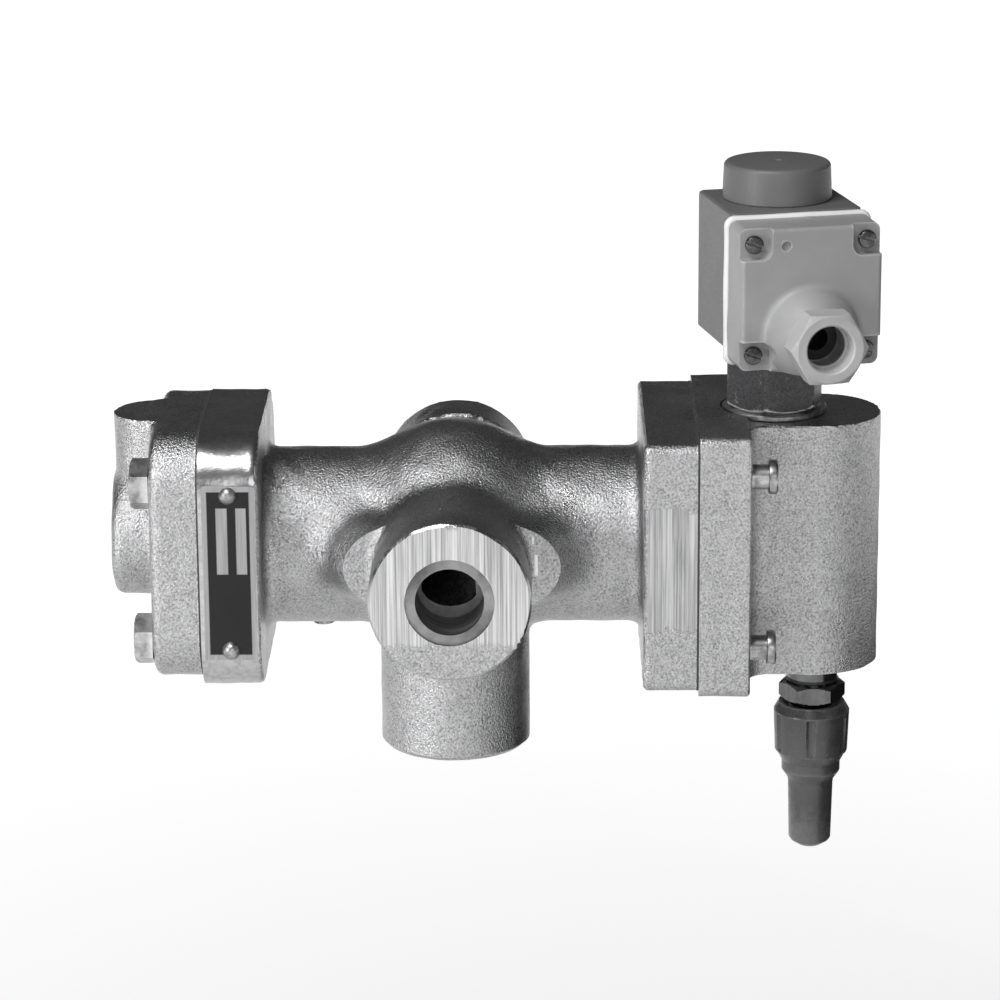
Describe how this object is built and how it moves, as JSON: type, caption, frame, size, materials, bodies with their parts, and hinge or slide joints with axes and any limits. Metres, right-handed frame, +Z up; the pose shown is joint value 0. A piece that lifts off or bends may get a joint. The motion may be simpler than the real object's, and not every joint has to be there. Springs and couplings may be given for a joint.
{
  "type": "three-way solenoid valve",
  "caption": "Pilot-operated three-way solenoid valve with a cast body, flanged end covers, a turning coil, a cable gland and a capped drain fitting.",
  "frame": {"origin": "centre of the common port's mouth, at the lowest face of the cast body", "axes": "+X from the spring end to the pilot end, +Y from the low-pressure port to the high-pressure port, +Z up"},
  "size_m": [0.2898, 0.176, 0.2699],
  "materials": {
    "cast_metal": "rough cast, plated silver",
    "bright_steel": "plated",
    "dark_steel": "dark matte",
    "brass": "turned",
    "plated_fitting": "bright plated",
    "piston_alloy": "turned",
    "disc_polymer": "smooth",
    "seal_rubber": "matte",
    "gasket_sheet": "fibre sheet",
    "plate_finish": "black with a bare border",
    "coil_plastic": "moulded",
    "cover_plastic": "moulded",
    "gland_plastic": "moulded",
    "rim_rubber": "soft",
    "cap_plastic": "moulded",
    "copper_wire": "enamelled"
  },
  "bodies": {
    "valve": {"valve_body": "cast_metal", "nameplate": "plate_finish", "nameplate_screws": "bright_steel", "seat_ring_left": "brass", "seat_ring_right": "brass", "left_gasket": "gasket_sheet", "left_cover": "cast_metal", "left_cover_bolts": "bright_steel", "stem_guide_left": "brass", "return_spring": "bright_steel", "right_gasket": "gasket_sheet", "right_cover": "cast_metal", "right_cover_bolts": "bright_steel", "stem_bush": "brass", "stem_seal": "seal_rubber", "pilot_orifice": "brass", "tube_seal": "seal_rubber", "pilot_washer": "bright_steel", "pilot_nut": "dark_steel", "pilot_tube": "bright_steel", "fixed_core": "bright_steel", "armature_spring": "bright_steel", "drain_adapter": "plated_fitting", "core_spring": "bright_steel", "core_retainer": "brass"},
    "spool": {"spool_stem": "bright_steel", "valve_disc_left": "disc_polymer", "valve_disc_right": "disc_polymer", "disc_backing_left": "bright_steel", "disc_backing_right": "bright_steel", "disc_nuts": "bright_steel", "power_piston": "piston_alloy", "piston_ring": "dark_steel", "piston_nuts": "bright_steel"},
    "armature": {"armature": "bright_steel", "armature_tip": "seal_rubber"},
    "coil": {"coil_housing": "coil_plastic", "coil_base": "coil_plastic", "coil_yoke": "dark_steel", "coil_bobbin": "disc_polymer", "coil_winding": "copper_wire", "coil_cap": "coil_plastic", "terminal_block": "coil_plastic", "terminal_screws": "brass", "box_gasket": "rim_rubber", "box_cover": "cover_plastic", "cover_screws": "bright_steel", "gland_seal": "seal_rubber"},
    "gland": {"gland_nut": "gland_plastic"},
    "drain_cap": {"drain_cap": "cap_plastic", "cap_seal": "seal_rubber"},
    "drain_core": {"drain_core": "brass"}
  },
  "joints": [
    {"name": "spool_slide", "type": "slide", "parent": "valve", "child": "spool", "axis": [-1, 0, 0], "range_m": [0, 0.01], "stiffness_N_per_m": 1800, "springref_m": -0.012, "deforming": ["return_spring"]},
    {"name": "armature_lift", "type": "slide", "parent": "valve", "child": "armature", "axis": [0, 0, 1], "range_m": [0, 0.0025], "stiffness_N_per_m": 500, "springref_m": -0.004, "deforming": ["armature_spring"]},
    {"name": "coil_swivel", "type": "hinge", "parent": "valve", "child": "coil", "pos_m": [0.1209, 0, 0.1595], "axis": [0, 0, 1], "continuous": true},
    {"name": "gland_turn", "type": "hinge", "parent": "coil", "child": "gland", "pos_m": [0.1339, -0.05632, 0.1698], "axis": [0.225, -0.9744, 0], "continuous": true},
    {"name": "drain_cap_turn", "type": "hinge", "parent": "valve", "child": "drain_cap", "pos_m": [0.1368, 0, 0], "axis": [0, 0, 1], "continuous": true},
    {"name": "drain_core_press", "type": "slide", "parent": "valve", "child": "drain_core", "axis": [0, 0, 1], "range_m": [0, 0.0015], "stiffness_N_per_m": 600, "springref_m": -0.003, "deforming": ["core_spring"]}
  ]
}
